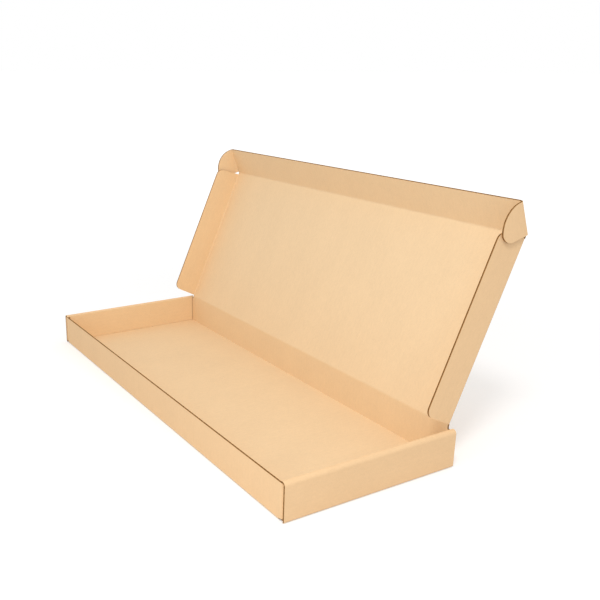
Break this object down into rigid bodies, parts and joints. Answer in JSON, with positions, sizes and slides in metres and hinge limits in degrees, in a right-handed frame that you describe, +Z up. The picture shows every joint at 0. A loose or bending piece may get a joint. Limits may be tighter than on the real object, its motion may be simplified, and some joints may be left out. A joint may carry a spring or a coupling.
{
  "type": "cardboard box",
  "caption": "Long, shallow mailing box of fluted card, folded from one sheet, with rolled double side walls and a tuck lid with side flaps and ears, standing open.",
  "frame": {"origin": "middle of the tray's underside, on the surface it stands on", "axes": "+X along the box's length, the tuck side faces -Y, +Z up"},
  "size_m": [0.38, 0.1971, 0.1799],
  "materials": {
    "card": "matte kraft liner, brown fluted cut edges"
  },
  "bodies": {
    "tray": {"tray": "card"},
    "lid": {"lid": "card"},
    "tuck_flap": {"tuck_flap": "card"},
    "left_ear": {"left_ear": "card"},
    "right_ear": {"right_ear": "card"},
    "left_side_flap": {"left_side_flap": "card"},
    "right_side_flap": {"right_side_flap": "card"}
  },
  "joints": [
    {"name": "lid_hinge", "type": "hinge", "parent": "tray", "child": "lid", "pos_m": [0, 0.07005, 0.0285], "axis": [-1, 0, 0], "range_deg": [-113.7, 66.3]},
    {"name": "tuck_crease", "type": "hinge", "parent": "lid", "child": "tuck_flap", "pos_m": [0, 0.12568, 0.15523], "axis": [-1, 0, 0], "range_deg": [-55.3, 32.29]},
    {"name": "right_ear_crease", "type": "hinge", "parent": "tuck_flap", "child": "right_ear", "pos_m": [0.1847, 0.12568, 0.15523], "axis": [0, -0.36, 0.933], "range_deg": [0, 90]},
    {"name": "left_ear_crease", "type": "hinge", "parent": "tuck_flap", "child": "left_ear", "pos_m": [-0.1847, 0.12568, 0.15523], "axis": [0, 0.36, -0.933], "range_deg": [0, 90]},
    {"name": "right_side_crease", "type": "hinge", "parent": "lid", "child": "right_side_flap", "pos_m": [0.1829, 0.07005, 0.0285], "axis": [0, -0.4019, -0.9157], "range_deg": [0, 30]},
    {"name": "left_side_crease", "type": "hinge", "parent": "lid", "child": "left_side_flap", "pos_m": [-0.1829, 0.07005, 0.0285], "axis": [0, 0.4019, 0.9157], "range_deg": [0, 30]}
  ],
  "couplings": [
    {"joint": "tuck_crease", "follows": "lid_hinge", "ratio": 0.48549}
  ]
}
